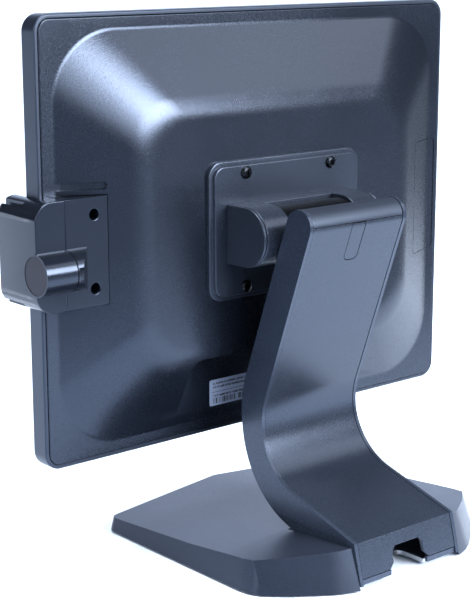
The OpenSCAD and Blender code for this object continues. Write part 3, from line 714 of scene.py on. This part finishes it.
# Pieces that keep their CAD node's shape: name, node, material, width and steps of the rounding
ROUNDED = [
    ("hinge_block_body", "hinge_block", "hinge", 0.7, 3),
    ("hinge_cap_pair", "hinge_end_caps", "hinge", 0.8, 3),
    ("reader_body", "reader_housing", "reader", 0.7, 3),
    ("reader_bracket_body", "reader_bracket", "reader", 0.7, 3),
    ("key_face_disc", "key_reader_face", "disc", 0.25, 2),
    ("arm_frame_body", "arm_frame", "frame", 0.8, 3),
    ("arm_cover_body", "arm_rear_cover", "stand", 0.45, 2),
    ("arm_cap_body", "arm_top_cap", "cap", 0.5, 2),
    ("latch_tab_body", "latch_tab", "stand", 0.3, 2),
    ("base_cover_body", "base_cover", "base", 0.8, 3),
    ("base_plate_body", "base_plate", "plate", 0.3, 2),
    ("arm_spine_body", "arm_spine", "zinc", 0.4, 2),
    ("knuckle_body", "hinge_knuckle", "black_steel", 0.6, 2),
    ("shaft_body", "hinge_shaft", "steel", 0.5, 2),
    ("nut_pair", "hinge_nuts", "zinc", 0.3, 2),
    ("washer_stacks", "friction_washers", "zinc", 0.15, 1),
    ("rubber_foot_set", "rubber_feet", "rubber", 0.5, 3),
    ("base_screw_set", "base_screws", "steel", 0.25, 2),
    ("power_button_body", "power_button", "dark", 0.3, 2),
    ("status_light_lens", "status_light", "light", 0.4, 3),
    ("touch_glass_pane", "touch_glass", "glass", 0.4, 3),
    ("speaker_pair", "speakers", "dark", 0.4, 2),
    ("connector_row", "connectors", "connector", 0.25, 2),
    ("connector_plate", "connector_panel", "zinc", 0.12, 1),
    ("chassis_body", "screen_chassis", "steel", 0.2, 1),
    ("mainboard_body", "mainboard", "board", 0.15, 1),
    ("heat_sink_body", "heat_sink", "alu", 0.15, 1),
    ("drive_body", "storage_drive", "alu", 0.4, 2),
    ("lcd_body", "lcd_panel", "alu", 0.3, 2),
    ("gasket_body", "glass_gasket", "foam", 0.08, 1),
    ("reader_board_body", "reader_board", "board", 0.1, 1),
    ("read_head_body", "read_head", "steel", 0.3, 2),
]
ROUNDED_ONLY = {"reader_housing": reader_rim, "reader_bracket": reader_rim}

bezel()
rear_cover()
side_blank()
rating_label()
adaptor_plate()
adaptor_screws()
reader_screws()
for name, node, material, width, segments in ROUNDED:
    rounded(name, node, M[material], width, segments, only=ROUNDED_ONLY.get(node))


# ---------- camera ----------

# Fitted to the photo, with the adaptor plate's 75 mm square of screws as the ruler
CAMERA_RIGHT = Vector((-0.76063618, 0.6491754, -0.00197462))
CAMERA_UP = Vector((-0.1453133, -0.16729689, 0.97513886))
CAMERA_PLACE = Vector((697.66, 746.75, 394.39)) * MM

camera_data = bpy.data.cameras.new("camera")
camera = link(bpy.data.objects.new("camera", camera_data))
axes = (CAMERA_RIGHT, CAMERA_UP, CAMERA_RIGHT.cross(CAMERA_UP))
pose = Matrix(axes).transposed().to_4x4()
pose.translation = CAMERA_PLACE
camera.matrix_world = pose
camera_data.sensor_width = 36
camera_data.lens = 94.54
camera_data.clip_end = 100
bpy.context.scene.camera = camera
bpy.context.scene.view_settings.view_transform = "Standard"


# ---------- light ----------

ROOM_LIGHT, WALL_LIGHT, ROOM_COLOR = 0.14, 2.3, (0.62, 0.74, 1, 1)
WALL_TOWARDS, WALL_EDGE, WALL_CORE = (-0.62, -0.75, 0.22), 0.86, 0.97
LAMP_COLOR = (0.93, 0.96, 1.0)
SUN_COLOR, SUN_POWER, SUN_ANGLE, SUN_FROM = (0.92, 0.96, 1.0), 6.2, 40, (0, 0.1, 1)
HEAD_SPOT = (0.08, 0, 0.31)     # what the two large boxes are turned to

# Softboxes: name, place, what it is turned to, its two sides in metres, watts
SOFTBOXES = [
    ("back_softbox", (-0.66, 1.76, 0.94), HEAD_SPOT, (1.10, 0.87), 88),
    ("wide_softbox", (-0.25, 1.90, 0.99), HEAD_SPOT, (1.6, 0.86), 36),
    ("top_softbox", (-1.37, 1.05, 1.58), (0, 0, 0.3), (1.0, 0.85), 9),
    ("side_softbox", (1.7, 0.1, 0.7), (0.1, 0, 0.2), (0.5, 1.0), 18),
]


def studio_world():
    """A dim room with one pale wall opposite the camera, which the base's top mirrors.
    WALL_EDGE and WALL_CORE are cosines of the angle from the wall's middle."""
    world = bpy.data.worlds.new("studio")
    bpy.context.scene.world = world
    world.use_nodes = True
    tree = world.node_tree
    coords = tree.nodes.new("ShaderNodeTexCoord")
    wall = tree.nodes.new("ShaderNodeVectorMath")
    wall.operation = "DOT_PRODUCT"
    wall.inputs[1].default_value = Vector(WALL_TOWARDS).normalized()
    tree.links.new(coords.outputs["Generated"], wall.inputs[0])
    glow = tree.nodes.new("ShaderNodeMapRange")
    glow.interpolation_type = "SMOOTHSTEP"
    for key, value in (("From Min", WALL_EDGE), ("From Max", WALL_CORE),
                       ("To Min", ROOM_LIGHT), ("To Max", WALL_LIGHT)):
        glow.inputs[key].default_value = value
    tree.links.new(wall.outputs["Value"], glow.inputs["Value"])
    background = tree.nodes["Background"]
    background.inputs[0].default_value = ROOM_COLOR
    tree.links.new(glow.outputs[0], background.inputs[1])


def lamp(name, kind, power, color):
    data = bpy.data.lights.new(name, kind)
    data.energy = power
    data.color = color
    return link(bpy.data.objects.new(name, data))


def softbox(name, place, target, size, power):
    """A rectangular area light at a place, turned to a target."""
    obj = lamp(name, "AREA", power, LAMP_COLOR)
    obj.data.shape = "RECTANGLE"
    obj.data.size, obj.data.size_y = size
    obj.location = place
    ahead = Vector(target) - Vector(place)
    obj.rotation_euler = ahead.to_track_quat("-Z", "Y").to_euler()


studio_world()
for row in SOFTBOXES:
    softbox(*row)
sun = lamp("overhead_bank", "SUN", SUN_POWER, SUN_COLOR)
sun.data.angle = math.radians(SUN_ANGLE)
sun.rotation_euler = Vector(SUN_FROM).to_track_quat("Z", "Y").to_euler()


# ---------- floor ----------

FLOOR_SIZE = 40000      # millimetres from the middle to each side
PALE, PALER, GREY = (0.72, 0.80, 0.93), (0.75, 0.83, 0.96), (0.13, 0.15, 0.18)

floor_bm = bmesh.new()
bmesh.ops.create_grid(floor_bm, x_segments=8, y_segments=8, size=FLOOR_SIZE)
floor = to_object("floor", floor_bm)
paper = Tree("floor_paper")
grain = paper.noise(900, detail=3)
paper.bump(grain, 0.05, 0.05)


def fade(direction, start, end):
    """How far the paper has turned grey along a direction, between two distances in metres.
    It does so behind the screen, outside the picture, so that the dome's plateau and its slope
    on the card reader's side mirror something dark."""
    along = paper.node("VectorMath", {0: paper.coords, 1: direction}, operation="DOT_PRODUCT")
    return paper.between(along.outputs["Value"], 0.0, 1.0, start, end,
                         interpolation_type="SMOOTHSTEP")


far = paper.math("MAXIMUM", fade((0.25, 0.97, 0), 0.36, 0.68), fade((-0.6, 0.8, 0), 0.44, 0.62))
pale = paper.mix(grain, PALE, PALER)
floor.data.materials.append(paper.set(Base_Color=paper.mix(far, pale, GREY),
                                      Roughness=paper.between(grain, 0.7, 0.85)))
